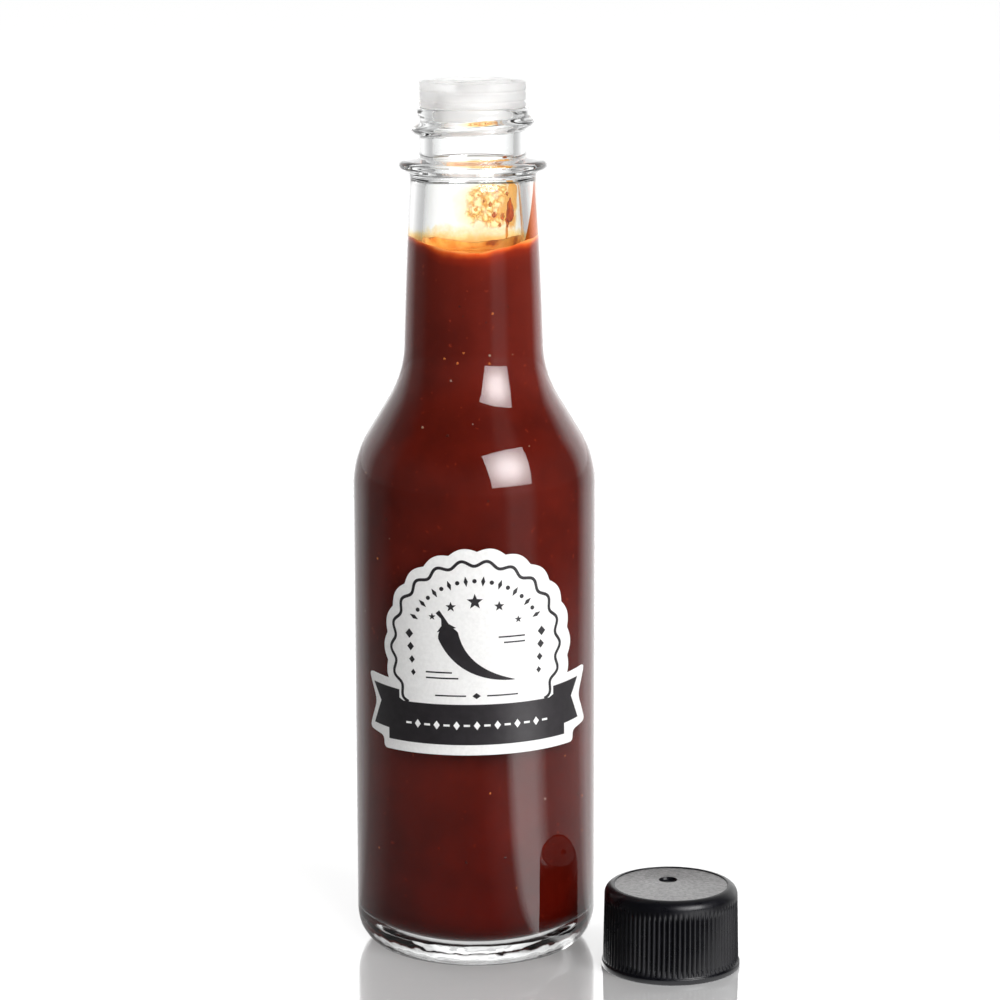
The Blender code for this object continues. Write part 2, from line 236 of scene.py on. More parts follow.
def bowed(start, end, bow, steps):
    """Points strictly between start and end on a line that bulges outwards by bow."""
    inside = [i / steps for i in range(1, steps)]
    return [
        (start[0] + (end[0] - start[0]) * t + bow * 4 * t * (1 - t), start[1] + (end[1] - start[1]) * t)
        for t in inside
    ]


def rounded(points, radius, steps=4):
    """An outline whose inner corners are rounded by a short curve."""
    made = [points[0]]
    for before, corner, after in zip(points, points[1:], points[2:]):
        corner_v = Vector(corner)
        into = (Vector(before) - corner_v)
        out = (Vector(after) - corner_v)
        reach = min(radius, into.length * 0.45, out.length * 0.45)
        start = corner_v + into.normalized() * reach
        end = corner_v + out.normalized() * reach
        for i in range(steps + 1):
            t = i / steps
            point = start * (1 - t) ** 2 + corner_v * 2 * t * (1 - t) + end * t ** 2
            made.append((point.x, point.y))
    return made + [points[-1]]


def shoulder_arcs(inset, steps):
    """The shoulder from neck to body, moved inwards by inset: a hollow arc, a cone and a round arc."""
    slope = math.radians(SHOULDER_SLOPE)
    taper = math.radians(NECK_TAPER)
    low_centre = (BODY_R - SHOULDER_R, SHOULDER_Z)
    low_end_r = low_centre[0] + SHOULDER_R * math.cos(slope)
    low_end_z = low_centre[1] + SHOULDER_R * math.sin(slope)
    high_start_r = NECK_LOW_R + THROAT_R * (math.cos(taper) - math.cos(slope))
    high_start_z = low_end_z + (low_end_r - high_start_r) / math.tan(slope)
    high_centre = (
        high_start_r + THROAT_R * math.cos(slope),
        high_start_z + THROAT_R * math.sin(slope),
    )
    high = arc(high_centre, THROAT_R + inset, 180 + NECK_TAPER, 180 + SHOULDER_SLOPE, steps)
    low = arc(low_centre, SHOULDER_R - inset, SHOULDER_SLOPE, 0, steps)
    return high + low


def outer_outline():
    """The outside of the glass, from the lip down to the middle of the push-up."""
    lip = [(BORE_R, GLASS_H - 0.9), (BORE_R + 0.1, GLASS_H), (LIP_R, GLASS_H), (LIP_R, GLASS_H - 1.3)]
    lip += [(FINISH_R, GLASS_H - 1.9), (FINISH_R, THREAD_RIGHT_Z + 0.6)]
    thread_low = RING_Z + 2.6
    rows = round((THREAD_RIGHT_Z + 0.6 - thread_low) / THREAD_ROW)
    finish = [(FINISH_R, THREAD_RIGHT_Z + 0.6 - THREAD_ROW * i) for i in range(1, rows + 1)]
    ring = [(FINISH_R, RING_Z + 1.5), (RING_R - 0.8, RING_Z + 1.1)]
    ring += arc((RING_R - 0.9, RING_Z + 0.2), 0.9, 45, -60, 10)
    ring += [(NECK_TOP_R + 0.1, RING_Z - 1.3), (NECK_TOP_R, NECK_TOP_Z)]
    shoulder = shoulder_arcs(0, 20)
    neck = bowed((NECK_TOP_R, NECK_TOP_Z), shoulder[0], NECK_BOW, 16)
    body = bowed(shoulder[-1], (BODY_R, HEEL_H), 0, 12)
    heel = arc((BODY_R - HEEL_R, HEEL_H), HEEL_R, 0, -90, 16, HEEL_H)
    push_up = [(REST_RING_IN_R, 0), (REST_RING_IN_R - 1.0, 0.7), (9.0, PUSH_UP_H - 0.4), (0, PUSH_UP_H)]
    return (
        rounded(lip, 0.8)[:-1] + finish + rounded([finish[-1], *ring[:3]], 0.8)[1:-1] + ring[2:-2]
        + rounded([ring[-3], *ring[-2:], neck[0]], 1.6)[1:-1] + neck + shoulder + body + heel
        + rounded(push_up, 1.2)[1:]
    )


def inner_outline():
    """The inside of the glass, from the floor's middle up to the lip."""
    body = BODY_R - WALL
    points = [(0, FLOOR_Z + FLOOR_DOME_H), (8.0, FLOOR_Z + FLOOR_DOME_H * 0.5)]
    points += arc((body - INNER_HEEL_R, FLOOR_Z + INNER_HEEL_R), INNER_HEEL_R, -80, 0, 14)
    shoulder = shoulder_arcs(WALL, 20)
    points += bowed(points[-1], shoulder[-1], 0, 12)
    points += reversed(shoulder)
    high = (BORE_R + 1.3, NECK_TOP_Z - 0.4)
    points += bowed(points[-1], high, 0.25, 24)
    points += rounded([high, (BORE_R + 0.5, NECK_TOP_Z + 2.0), (BORE_R, BORE_LOW_Z), (BORE_R, 160.0)], 1.5)
    return points + [(BORE_R, GLASS_H - 1.5)]


def radius_at(outline, z):
    """The outline's radius at height z, for an outline that runs upwards there."""
    for low, high in zip(outline, outline[1:]):
        if low[1] <= z <= high[1] and high[1] > low[1]:
            share = (z - low[1]) / (high[1] - low[1])
            return low[0] + (high[0] - low[0]) * share
    return outline[-1][0]


# Mesh building

def turned(outline, steps):
    """A shape turned about Z from (radius, height) points."""
    shape = bmesh.new()
    corners = [shape.verts.new((r * MM, 0, z * MM)) for r, z in outline]
    edges = [shape.edges.new(pair) for pair in zip(corners, corners[1:])]
    bmesh.ops.spin(
        shape, geom=corners + edges, cent=(0, 0, 0), axis=(0, 0, 1), angle=math.tau, steps=steps,
        use_merge=True,
    )
    close(shape)
    return shape


def close(shape):
    bmesh.ops.remove_doubles(shape, verts=shape.verts, dist=0.000002)
    bmesh.ops.recalc_face_normals(shape, faces=shape.faces)


def polar(point):
    """Angle about Z in degrees and radius and height in millimetres of a mesh point."""
    return math.degrees(math.atan2(point.y, point.x)), point.xy.length / MM, point.z / MM


def set_radius(point, radius):
    share = radius * MM / point.xy.length
    point.x *= share
    point.y *= share


def piece(shape, name, materials, at=None, sharp=None, replaces=None):
    """Puts a finished mesh in the scene at its place, riding on the body."""
    if at is not None:
        bmesh.ops.translate(shape, verts=shape.verts, vec=at)
    mesh = bpy.data.meshes.new(name)
    shape.to_mesh(mesh)
    shape.free()
    mesh.shade_smooth()
    if sharp is not None:
        mesh.set_sharp_from_angle(angle=math.radians(sharp))
    for surface in materials:
        mesh.materials.append(surface)
    made = bpy.data.objects.new(name, mesh)
    bpy.context.scene.collection.objects.link(made)
    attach(made, "root")
    if replaces:
        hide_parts(replaces)


# Material building

def new_material(name):
    made = bpy.data.materials.new(name)
    made.use_nodes = True
    return made, made.node_tree, made.node_tree.nodes["Principled BSDF"]


def set_inputs(tree, node, values):
    """Links each input to a socket, or sets it to a plain value."""
    for key, value in values.items():
        if isinstance(value, bpy.types.NodeSocket):
            tree.links.new(value, node.inputs[key])
        else:
            node.inputs[key].default_value = value


def add(tree, kind, inputs=None, **settings):
    """A node with its settings and its inputs."""
    made = tree.nodes.new(kind)
    for key, value in settings.items():
        setattr(made, key, value)
    set_inputs(tree, made, inputs or {})
    return made


def ramp(tree, source, stops):
    """A colour ramp fed by source, from (position, colour) stops. A plain number stands for a grey."""
    made = add(tree, "ShaderNodeValToRGB", {"Fac": source})
    bar = made.color_ramp
    for position, colour in stops[2:]:
        bar.elements.new(position)
    for element, (position, colour) in zip(bar.elements, stops):
        element.position = position
        element.color = (*(colour if isinstance(colour, tuple) else [colour] * 3), 1)
    return made.outputs["Color"]


def object_point(tree):
    return add(tree, "ShaderNodeTexCoord").outputs["Object"]


def parts_of(tree, vector):
    return add(tree, "ShaderNodeSeparateXYZ", {"Vector": vector}).outputs


def noise_at(tree, point, scale, detail=3.0, roughness=0.5, output="Fac"):
    made = add(tree, "ShaderNodeTexNoise", {
        "Vector": point, "Scale": scale, "Detail": detail, "Roughness": roughness,
    })
    return made.outputs[output]


def bump(tree, height, distance):
    made = add(tree, "ShaderNodeBump", {"Strength": 1.0, "Distance": distance, "Height": height})
    return made.outputs["Normal"]


def mix_colour(tree, factor, first, second, blend="MIX"):
    """A colour mix. Each of factor, first and second is a socket or a plain value."""
    first, second = [(*value, 1) if isinstance(value, tuple) else value for value in (first, second)]
    inputs = {0: factor, 6: first, 7: second}
    return add(tree, "ShaderNodeMix", inputs, data_type="RGBA", blend_type=blend).outputs[2]


def mix_level(tree, factor, first, second):
    return add(tree, "ShaderNodeMix", {0: factor, 2: first, 3: second}, data_type="FLOAT").outputs[0]


def mix_shaders(tree, factor, first, second):
    return add(tree, "ShaderNodeMixShader", {0: factor, 1: first.outputs[0], 2: second.outputs[0]})


def show(tree, shader):
    """Makes a shader the surface of its material."""
    tree.links.new(shader.outputs[0], tree.nodes["Material Output"].inputs["Surface"])


def maths(tree, operation, *values, clamp=False):
    inputs = dict(enumerate(values))
    return add(tree, "ShaderNodeMath", inputs, operation=operation, use_clamp=clamp).outputs[0]


def vector_maths(tree, operation, *values, output="Vector"):
    inputs = dict(enumerate(values))
    return add(tree, "ShaderNodeVectorMath", inputs, operation=operation).outputs[output]


def moved_range(tree, value, start, end, low=0.0, high=1.0, **settings):
    """A value moved from the range start to end onto the range low to high, and held inside it."""
    made = add(tree, "ShaderNodeMapRange", {
        "Value": value, "From Min": start, "From Max": end, "To Min": low, "To Max": high,
    }, **settings)
    return made.outputs["Result"]


def new_group(name, inputs, outputs):
    """A node group, from its inputs as {name: kind} and the names of its outputs, which are numbers."""
    group = bpy.data.node_groups.new(name, "ShaderNodeTree")
    for title, kind in inputs.items():
        group.interface.new_socket(title, in_out="INPUT", socket_type=kind)
    for title in outputs:
        group.interface.new_socket(title, in_out="OUTPUT", socket_type="NodeSocketFloat")
    return group, group.nodes.new("NodeGroupInput").outputs, group.nodes.new("NodeGroupOutput")


def uneven_gloss():
    """A group that varies a roughness between two values in soft patches, with a fine relief to match."""
    number = "NodeSocketFloat"
    inputs = {"Vector": "NodeSocketVector", "Scale": number, "Low": number, "High": number}
    group, given, result = new_group("uneven_gloss", inputs, ("Roughness", "Relief"))
    patches = noise_at(group, given["Vector"], given["Scale"], detail=4.0)
    rough = moved_range(group, patches, 0.35, 0.65, given["Low"], given["High"])
    set_inputs(group, result, {"Roughness": rough, "Relief": patches})
    return group


UNEVEN_GLOSS = uneven_gloss()


def give_gloss(tree, shader, point, scale, low, high, relief):
    """Feeds a shader's roughness and normal from the shared group."""
    inputs = {"Vector": point, "Scale": scale, "Low": low, "High": high}
    gloss = add(tree, "ShaderNodeGroup", inputs, node_tree=UNEVEN_GLOSS).outputs
    set_inputs(tree, shader, {
        "Roughness": gloss["Roughness"], "Normal": bump(tree, gloss["Relief"], relief),
    })


def let_light_through(tree, shader):
    """Shadow rays and diffuse rays pass straight, so that what stands behind the glass is lit."""
    path = add(tree, "ShaderNodeLightPath").outputs
    either = maths(tree, "MAXIMUM", path["Is Shadow Ray"], path["Is Diffuse Ray"])
    show(tree, mix_shaders(tree, either, shader, add(tree, "ShaderNodeBsdfTransparent")))


# Glass

def clear_glass():
    """Clear glass with the faint waviness of a moulded bottle."""
    made, tree, shader = new_material("clear_glass")
    stretched = add(tree, "ShaderNodeMapping", {"Vector": object_point(tree), "Scale": (1, 1, 0.35)})
    waves = noise_at(tree, stretched.outputs["Vector"], 90.0, detail=1.0)
    set_inputs(tree, shader, {
        "Base Color": (0.985, 0.992, 0.99, 1), "Roughness": 0.0, "IOR": 1.5, "Transmission Weight": 1.0,
        "Normal": bump(tree, waves, 0.00005),
    })
    let_light_through(tree, shader)
    return made


def thread_height(angle, z):
    """How far the thread stands out from the finish at that angle and height."""
    best = 0.0
    for turn in (angle - 360, angle, angle + 360):
        if not THREAD_FROM < turn < THREAD_TO:
            continue
        share = min(1.0, (turn - THREAD_FROM) / THREAD_FADE, (THREAD_TO - turn) / THREAD_FADE)
        off = abs(z - THREAD_RIGHT_Z - THREAD_PITCH * turn / 360) / THREAD_HALF_W
        if off < 1:
            crest = math.cos(math.pi / 2 * off) ** THREAD_CREST
            best = max(best, THREAD_H * crest * math.sin(math.pi / 2 * share))
    return best


def glass_bottle():
    shape = turned(inner_outline() + outer_outline(), GLASS_STEPS)
    for vert in shape.verts:
        angle, radius, z = polar(vert.co) if vert.co.xy.length > 0 else (0, 0, 0)
        if RING_Z + 1.5 < z < GLASS_H - 1.0 and radius > FINISH_R - 0.5:
            set_radius(vert.co, radius + thread_height(angle, z))
        if STIPPLE_LOW_R < radius and z < STIPPLE_TOP_Z:
            turn = math.radians(angle)
            ripple = noise.noise(Vector((math.cos(turn), math.sin(turn), z / 9)) * STIPPLE_FINE)
            set_radius(vert.co, radius + STIPPLE_H * ripple * min(1.0, (STIPPLE_TOP_Z - z) / 2))
    piece(
        shape, "clear_glass_bottle", [clear_glass()], BOTTLE_AT, replaces="glass_bottle",
    )


# Sauce

def height_in_glow(tree, point, height):
    """How far up the rim's painted glow a point is, from 0 to 1. The rim climbs at the bottle's two sides.
    """
    flat = vector_maths(tree, "MULTIPLY", vector_maths(tree, "SUBTRACT", point, BOTTLE_AT), (1, 1, 0))
    side = parts_of(tree, vector_maths(tree, "NORMALIZE", flat))["X"]
    climb = maths(tree, "MULTIPLY", maths(tree, "POWER", side, 2.0), -SIDE_CLIMB * MM)
    ragged = noise_at(tree, point, 160.0, detail=3.0)
    lifted = maths(tree, "MULTIPLY_ADD", ragged, 0.0022, maths(tree, "ADD", height, climb))
    return moved_range(tree, lifted, (SAUCE_TOP_Z - GLOW_DEPTH) * MM, (SAUCE_TOP_Z + GLOW_OVER) * MM)


def sauce_in_glass():
    """Thick dark red sauce seen through the wall: specks, soft clouds, a painted orange glow near its top, a
    painted glow in the neck, painted shade at its foot.
    """
    made, tree, shader = new_material("sauce_in_glass")
    point = object_point(tree)
    height = parts_of(tree, point)["Z"]
    clouds = noise_at(tree, point, 70.0, detail=6.0, roughness=0.6)
    colour = ramp(tree, clouds, [(0.3, (0.062, 0.0048, 0.0024)), (0.7, (0.112, 0.0085, 0.004))])
    specks = ramp(tree, noise_at(tree, point, 900.0, detail=2.0), [(0.68, 0), (0.76, 1)])
    colour = mix_colour(tree, specks, colour, (0.2, 0.02, 0.007))
    # Painted glow: the sauce's colour is made lighter in the neck, as if light from behind shines through
    # it.
    neck = moved_range(tree, height, NECK_GLOW_Z[0] * MM, NECK_GLOW_Z[1] * MM)
    colour = mix_colour(tree, 1.0, colour, mix_colour(tree, neck, (1, 1, 1), (1.3, 1.5, 1.7)), "MULTIPLY")
    # Painted glow: orange towards the sauce's thin edges in the neck, where light from behind would shine
    # through.
    edge = add(tree, "ShaderNodeLayerWeight", {"Blend": 0.5})
    thin = maths(tree, "MULTIPLY", maths(tree, "POWER", edge.outputs["Facing"], 2.0), neck)
    colour = mix_colour(tree, thin, colour, (0.6, 0.075, 0.04))
    # Painted shade: the sauce's colour is made darker towards the foot.
    painted_foot_shade = moved_range(tree, height, FOOT_SHADE_Z[0] * MM, FOOT_SHADE_Z[1] * MM)
    colour = mix_colour(tree, 1.0, colour, mix_colour(tree, painted_foot_shade, (0.72, 0.4, 0.3), (1, 1, 1)), "MULTIPLY")
    # Painted glow: orange light painted into the sauce's colour below its top, following the rim's climb.
    level = height_in_glow(tree, point, height)
    painted_glow_mask = ramp(tree, level, [(0.0, 0), (0.72, 0.1), (0.86, 0.4), (0.94, 1)])
    glow = ramp(tree, level, [
        (0.3, (0.25, 0.015, 0.004)), (0.84, (0.45, 0.03, 0.006)), (0.93, (0.75, 0.1, 0.015)),
        (0.985, (0.9, 0.32, 0.08)),
    ])
    set_inputs(tree, shader, {
        "Base Color": mix_colour(tree, painted_glow_mask, colour, glow), "Roughness": 0.6, "Specular IOR Level": 0.0,
    })
    mirror = add(tree, "ShaderNodeBsdfGlossy", {"Roughness": 0.12})
    grazing = add(tree, "ShaderNodeFresnel", {"IOR": SAUCE_TO_GLASS_IOR})
    show(tree, mix_shaders(tree, grazing.outputs["Fac"], shader, mirror))
    return made


def sauce_surface():
    """The free surface: wet, and orange where it lies thin."""
    made, tree, shader = new_material("sauce_surface")
    clouds = noise_at(tree, object_point(tree), 260.0, detail=5.0)
    colour = ramp(tree, clouds, [
        (0.36, (0.45, 0.11, 0.03)), (0.45, (0.85, 0.34, 0.09)), (0.6, (0.95, 0.54, 0.2)),
    ])
    set_inputs(tree, shader, {
        "Base Color": colour, "Roughness": 0.12, "IOR": 1.4, "Normal": bump(tree, clouds, 0.0003),
    })
    return made


def sauce_outline():
    """The sauce from its floor up to its raised rim and back to the middle of its surface."""
    inside = inner_outline()
    rim_z = SAUCE_TOP_Z + MENISCUS - RIM_DROP
    level_z = SAUCE_TOP_Z - RIM_DROP
    sides = [(r + SAUCE_SINK, z) for r, z in inside if z < rim_z - 0.3]
    sides[0] = (0, inside[0][1] - SAUCE_SINK)
    sides[1] = (sides[1][0], sides[1][1] - SAUCE_SINK)
    fine = [rim_z - (RIM_ROWS - i) * RIM_ROW_H for i in range(RIM_ROWS)]
    sides = [p for p in sides if p[1] < fine[0] - 0.2]
    sides += [(radius_at(inside, z) + SAUCE_SINK, z) for z in fine]
    rim_r = radius_at(inside, rim_z) + SAUCE_SINK
    top = [(rim_r, rim_z), (rim_r - 0.35, rim_z - 0.15), (rim_r - 0.8, rim_z - 0.62)]
    top += [(rim_r - 1.7, level_z)]
    return sides + top + [(rim_r * share, level_z - SURFACE_DIP) for share in (0.55, 0.25, 0)]


def chilli_sauce():
    shape = turned(sauce_outline(), SAUCE_STEPS)
    level_z = SAUCE_TOP_Z - RIM_DROP
    for vert in shape.verts:
        if vert.co.z / MM > level_z - 0.3 and vert.co.xy.length > 0:
            near_top = min(1.0, (vert.co.z / MM - level_z + 0.3) / MENISCUS)
            wave = sum(noise.noise(vert.co.xyz * fine) * high for fine, high in RIM_WAVES)
            side = vert.co.x / vert.co.xy.length
            vert.co.z += (wave * near_top + SIDE_CLIMB * side ** 2 * near_top ** 2) * MM
    for face in shape.faces:
        if face.calc_center_median().z / MM > level_z - 0.2 and face.normal.z > 0.3:
            face.material_index = 1
    piece(
        shape, "red_sauce", [sauce_in_glass(), sauce_surface()], BOTTLE_AT, replaces="chilli_sauce",
    )


def soft_patch(tree, turn, height, centre, reach):
    """A soft round mask on the wall. Its middle and its reach are each (degrees from the back, height)."""
    across = maths(tree, "MULTIPLY_ADD", turn, 1 / reach[0], -centre[0] / reach[0])
    up = maths(tree, "MULTIPLY_ADD", height, 1 / reach[1], -centre[1] / reach[1])
    both = maths(tree, "ADD", *[maths(tree, "MULTIPLY", way, way) for way in (across, up)])
    return maths(tree, "SUBTRACT", 1.0, both, clamp=True)


def web_of_drops(tree, point):
    """The colours of a web: thick lines round thin cells."""
    swirl = noise_at(tree, point, 420.0, detail=2.0, output="Color")
    shifted = vector_maths(tree, "MULTIPLY_ADD", swirl, (0.0028, 0.0028, 0.0028), point)
    inputs = {"Vector": shifted, "Scale": 640.0}
    cells = add(tree, "ShaderNodeTexVoronoi", inputs, feature="DISTANCE_TO_EDGE")
    return ramp(tree, cells.outputs["Distance"], [
        (0.0, (0.72, 0.26, 0.04)), (0.09, (0.93, 0.52, 0.12)), (0.3, (1, 0.9, 0.42)),
    ])


def wedge_on_wall(tree, turn, height):
    """A mask of the wedge of sauce at the right, which narrows upwards."""
    reach = maths(tree, "MULTIPLY_ADD", height, -WEDGE_SPREAD / MM, WEDGE_SPREAD * WEDGE_TOP_Z)
    inside = maths(tree, "MULTIPLY_ADD", turn, 180 / math.pi, -WEDGE_TURN)
    past_edge = maths(tree, "GREATER_THAN", inside, 0.0)
    return maths(tree, "MULTIPLY", past_edge, maths(tree, "GREATER_THAN", reach, inside))


def sauce_film():
    """Oily sauce that clings to the wall: clear where thin, yellow, orange and brown where it gathers."""
    made, tree, shader = new_material("sauce_film")
    point = object_point(tree)
    local = add(tree, "ShaderNodeMapping", {"Vector": point, "Location": -BOTTLE_AT})
    parts = parts_of(tree, local.outputs["Vector"])
    raw_turn = maths(tree, "ARCTAN2", parts["X"], parts["Y"])
    bent = maths(tree, "SUBTRACT", noise_at(tree, point, 330.0, detail=3.0), 0.5)
    turn = maths(tree, "MULTIPLY_ADD", raw_turn, 180 / math.pi, maths(tree, "MULTIPLY", bent, 24.0))
    height = maths(tree, "MULTIPLY_ADD", parts["Z"], 1 / MM, maths(tree, "MULTIPLY", bent, 4.0))
    broken = ramp(tree, noise_at(tree, point, 700.0, detail=2.0), [(0.32, 0.5), (0.52, 1)])
    spots = ramp(tree, noise_at(tree, point, 850.0, detail=1.0), [(0.58, 0), (0.66, 1)])
    haze, tangle, dense, streak = [soft_patch(tree, turn, height, *patch) for patch in FILM_PATCHES]
    low = moved_range(tree, height, FILM_RING_Z + 3.4, FILM_RING_Z)
    ring = ramp(tree, low, [(0.0, (1, 0.95, 0.74)), (0.5, (1, 0.8, 0.46)), (1.0, (0.96, 0.56, 0.25))])
    ring_mask = ramp(tree, low, [(0.0, 0), (0.25, 0.8), (0.6, 1)])
    layers = (
        (haze, 1.6, 1.0, (1, 0.95, 0.64)), (tangle, 2.5, broken, web_of_drops(tree, point)),
        (tangle, 1.6, spots, (0.82, 0.36, 0.06)), (dense, 1.8, broken, (0.88, 0.42, 0.09)),
        (streak, 3.0, 1.0, (0.95, 0.46, 0.1)), (ring_mask, 1.0, 1.0, ring),
        (wedge_on_wall(tree, raw_turn, parts["Z"]), 1.0, 1.0, (0.82, 0.36, 0.09)),
    )
    colour = (1, 1, 1)
    for mask, strength, pattern, laid in layers:
        strong = maths(tree, "MULTIPLY", mask, strength, clamp=True)
        colour = mix_colour(tree, maths(tree, "MULTIPLY", strong, pattern), colour, laid)
    set_inputs(tree, shader, {
        "Base Color": colour, "Roughness": 0.0, "IOR": 1.01, "Transmission Weight": 1.0,
    })
    let_light_through(tree, shader)
    return made


def wall_film():
    """The film as a thin closed sleeve just inside the glass surface of the neck."""
    inside = inner_outline()
    heights = [FILM_LOW_Z + (FILM_TOP_Z - FILM_LOW_Z) * i / FILM_ROWS for i in range(FILM_ROWS + 1)]
    outer = [(radius_at(inside, z) + FILM_SINK, z) for z in heights]
    inner = [(radius_at(inside, z) + FILM_SINK - FILM_T, z) for z in reversed(heights)]
    shape = turned([*outer, *inner, outer[0]], FILM_STEPS)
    piece(shape, "sauce_on_wall", [sauce_film()], BOTTLE_AT)


def lump_colour(name, dark, light, clear=0.0):
    """Wet pulp in two shades. Where clear is above 0, light from behind shows through it."""
    made, tree, shader = new_material(name)
    clouds = noise_at(tree, object_point(tree), 900.0, detail=3.0)
    set_inputs(tree, shader, {
        "Base Color": ramp(tree, clouds, [(0.35, dark), (0.65, light)]), "Roughness": 0.3, "IOR": 1.2,
        "Transmission Weight": clear, "Subsurface Weight": 0.5, "Subsurface Radius": (1.0, 0.3, 0.1),
        "Subsurface Scale": 0.001,
    })
    return made


def lump(shape, turn, z, size, sink, seed, kind):
    """A flattened lump against the inner wall: turn is in degrees from the back towards +X."""
    radius = radius_at(inner_outline(), z) + sink
    made = bmesh.ops.create_icosphere(shape, subdivisions=3, radius=MM)["verts"]
    for vert in made:
        rough = 1 + LUMP_ROUGH * noise.noise(vert.co / MM * 1.1 + Vector((seed, 0, 0)))
        vert.co = Vector((vert.co.x * size[0], vert.co.y * size[1], vert.co.z * size[2])) * rough
    spin = Matrix.Rotation(math.radians(-turn), 4, "Z")
    bmesh.ops.transform(shape, matrix=spin @ Matrix.Translation((0, radius * MM, z * MM)), verts=made)
    for face in {face for vert in made for face in vert.link_faces}:
        face.material_index = kind


def lumps_on_wall():
    """Lumps of pulp that stick to the back wall above the sauce, and small drops below the bead."""
    shape = bmesh.new()
    for i, (turn, z, size, kind) in enumerate(WALL_LUMPS):
        lump(shape, turn, z, size, -LUMP_PROUD, 5.3 + i * 3.1, kind)
    shades = [
        lump_colour("dark_pulp", (0.45, 0.08, 0.012), (0.85, 0.3, 0.05), clear=0.85),
        lump_colour("orange_pulp", (0.75, 0.26, 0.05), (0.92, 0.5, 0.14), clear=0.8),
    ]
    piece(shape, "pulp_on_wall", shades, BOTTLE_AT)


def flecks_in_sauce():
    """Small flecks of chilli and seed that lie against the glass all round."""
    random.seed(7)
    shape = bmesh.new()
    spread = [
        (random.uniform(0, 360), random.uniform(*FLECK_Z), random.uniform(*FLECK_SIZE),
         random.choice((0, 0, 1, 2)))
        for _ in range(FLECKS)
    ]
    for i, (turn, z, size, kind) in enumerate([*SEEN_FLECKS, *spread]):
        lump(shape, turn, z, (size, size * 0.4, size * 1.2), SAUCE_SINK, i * 1.7, kind)
    shades = [
        lump_colour("dark_fleck", (0.02, 0.004, 0.002), (0.06, 0.008, 0.004)),
        lump_colour("orange_fleck", (0.45, 0.09, 0.02), (0.65, 0.16, 0.03)),
        lump_colour("pale_fleck", (0.3, 0.16, 0.12), (0.42, 0.25, 0.2)),
    ]
    piece(shape, "flecks_in_sauce", shades, BOTTLE_AT)


# Insert

def milky_plastic():
    """Natural polyethylene: milky and translucent, so that light from behind shows, with a soft gloss."""
    made, tree, shader = new_material("milky_plastic")
    point = object_point(tree)
    colour = ramp(tree, noise_at(tree, point, 220.0), [(0.3, (0.90, 0.89, 0.88)), (0.7, (0.94, 0.93, 0.92))])
    set_inputs(tree, shader, {
        "Base Color": colour, "Subsurface Weight": 1.0, "Subsurface Radius": (1.0, 0.98, 0.96),
        "Subsurface Scale": 0.01, "Transmission Weight": 0.7, "IOR": 1.3,
    })
    give_gloss(tree, shader, point, 500.0, 0.42, 0.5, 0.00002)
    let_light_through(tree, shader)
    return made


def insert_outline():
    seat = GLASS_H + INSERT_SEAT
    top = seat + COLLAR_H
    plug_r = BORE_R - 0.02
    plug_z = GLASS_H - PLUG_DEPTH
    under = top - TOP_PLATE
    inside = BORE_R - 1.3
    side = [(COLLAR_R, top)]
    for drop in COLLAR_GROOVES:
        side += [(COLLAR_R, top - drop + 0.3), (COLLAR_R - 0.2, top - drop), (COLLAR_R, top - drop - 0.3)]
    side += [(COLLAR_R, seat - 0.28)]
    points = [
        (DRIP_HOLE_R, under), (DRIP_HOLE_R, top - 1.2), (FUNNEL_R, top + BOSS_H), (BOSS_R, top + BOSS_H),
        (BOSS_R, top), *side, (plug_r, seat - 0.28), (plug_r, plug_z), (inside, plug_z), (inside, under),
        (DRIP_HOLE_R, under),
    ]
    return rounded(points, 0.25, 3)


def dripper_insert():
    shape = turned(insert_outline(), INSERT_STEPS)
    piece(
        shape, "milky_dripper", [milky_plastic()], BOTTLE_AT, sharp=40,
        replaces="dripper_insert",
    )


# Label

def label_stock(name, grain, dark, light, glossiest, dullest):
    """A satin surface of the label in two close tones."""
    made, tree, shader = new_material(name)
    point = object_point(tree)
    tone = noise_at(tree, point, grain, detail=4.0)
    set_inputs(tree, shader, {"Base Color": ramp(tree, tone, [(0.3, dark), (0.7, light)])})
    give_gloss(tree, shader, point, 900.0, glossiest, dullest, 0.00001)
    return made


def white_paper():
    return label_stock("white_paper", 1500.0, (0.80, 0.795, 0.785), (0.87, 0.865, 0.855), 0.3, 0.45)


def black_ink():
    return label_stock("black_ink", 700.0, (0.014, 0.012, 0.014), (0.021, 0.018, 0.021), 0.3, 0.42)


def flat_patch(shape, outline):
    """A flat face from (along, height) points."""
    corners = [shape.verts.new((along * MM, 0, z * MM)) for along, z in outline]
    shape.faces.new(corners)


def flat_line(shape, points, widths):
    """A flat stroke along points, with a width at each."""
    chain = []
    sides = []
    for i, (along, z) in enumerate(points):
        before = Vector(points[max(i - 1, 0)])
        after = Vector(points[min(i + 1, len(points) - 1)])
        run = (after - before).normalized()
        side = Vector((-run.y, 0, run.x)) * widths[i] * MM
        chain.append(shape.verts.new(Vector((along * MM, 0, z * MM)) - side / 2))
        sides.append(side)
    edges = [shape.edges.new(pair) for pair in zip(chain, chain[1:])]
    grown = bmesh.ops.extrude_edge_only(shape, edges=edges)["geom"]
    new_verts = [item for item in grown if isinstance(item, bmesh.types.BMVert)]
    for vert, side in match_pairs(new_verts, chain, sides):
        vert.co += side


def match_pairs(new_verts, chain, sides):
    """Each new corner with the side step of the corner that it was drawn from."""
    for vert in new_verts:
        source = min(range(len(chain)), key=lambda i: (chain[i].co - vert.co).length_squared)
        yield vert, sides[source]


